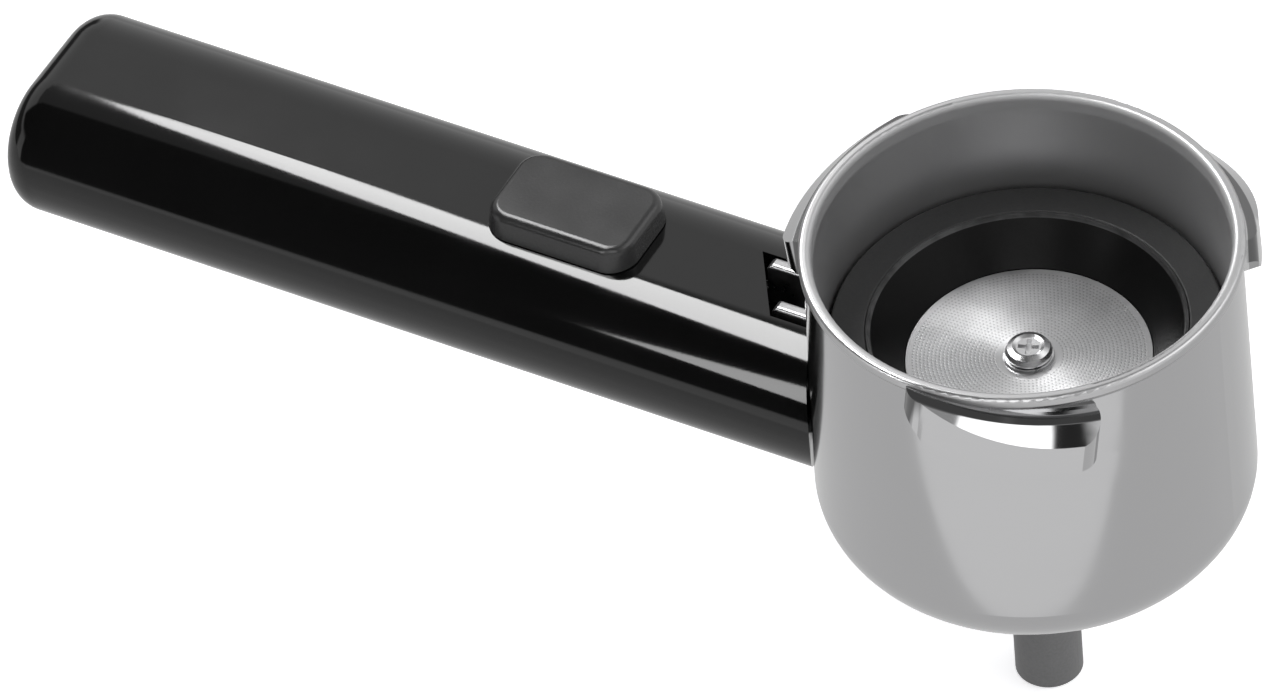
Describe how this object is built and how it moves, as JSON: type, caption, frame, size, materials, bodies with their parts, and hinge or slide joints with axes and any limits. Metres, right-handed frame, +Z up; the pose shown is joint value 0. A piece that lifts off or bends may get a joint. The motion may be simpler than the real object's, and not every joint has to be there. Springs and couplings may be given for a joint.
{
  "type": "portafilter",
  "caption": "Espresso portafilter: polished lugged cup with a deep well, steel disc and short spout, and a black handle whose thumb slide lifts the disc.",
  "frame": {"origin": "centre of the cup's rim, in the plane of the rim's flat top", "axes": "+Z up along the cup's axis and out of its mouth, -X along the handle, +Y completes the right-handed frame"},
  "size_m": [0.1931, 0.0673, 0.0855],
  "materials": {
    "cast_chrome": "polished chrome plate outside, satin in the well",
    "spring_steel": "drawn spring wire",
    "bright_steel": "bright plated sheet steel",
    "screw_steel": "stainless",
    "disc_steel": "fine perforated stainless",
    "nut_steel": "stainless",
    "black_rubber": "matt moulded rubber",
    "silicone": "translucent grey silicone",
    "moulded_black": "satin moulded black",
    "handle_gloss": "gloss black moulded",
    "button_plastic": "soft satin dark grey",
    "spout_plastic": "satin dark grey"
  },
  "bodies": {
    "holder": {"filter_cup": "cast_chrome", "tine_guides": "moulded_black", "well_gasket": "black_rubber", "filter_funnel": "moulded_black", "guide_cage": "moulded_black", "spout_tube": "spout_plastic", "spout_seal": "black_rubber", "spout_nut": "nut_steel", "handle_shell": "handle_gloss", "handle_screws": "screw_steel", "end_cap": "handle_gloss"},
    "slider": {"thumb_button": "button_plastic", "slide_plate": "moulded_black", "ejector_fork": "bright_steel", "slide_screws": "screw_steel", "slide_spring": "spring_steel"},
    "ejector": {"ejector_piston": "moulded_black", "filter_disc": "disc_steel", "piston_seal": "silicone", "disc_screw": "screw_steel", "screw_washer": "screw_steel", "stem_clip": "spring_steel", "piston_spring": "spring_steel"}
  },
  "joints": [
    {"name": "thumb_slide", "type": "slide", "parent": "holder", "child": "slider", "axis": [1, 0, 0], "range_m": [0, 0.0085], "stiffness_N_per_m": 400, "springref_m": -0.004, "deforming": ["slide_spring"]},
    {"name": "disc_lift", "type": "slide", "parent": "holder", "child": "ejector", "axis": [0, 0, 1], "range_m": [0, 0.0068], "stiffness_N_per_m": 250, "springref_m": -0.004, "deforming": ["piston_spring"]}
  ],
  "couplings": [
    {"joint": "disc_lift", "follows": "thumb_slide", "ratio": 0.8}
  ]
}
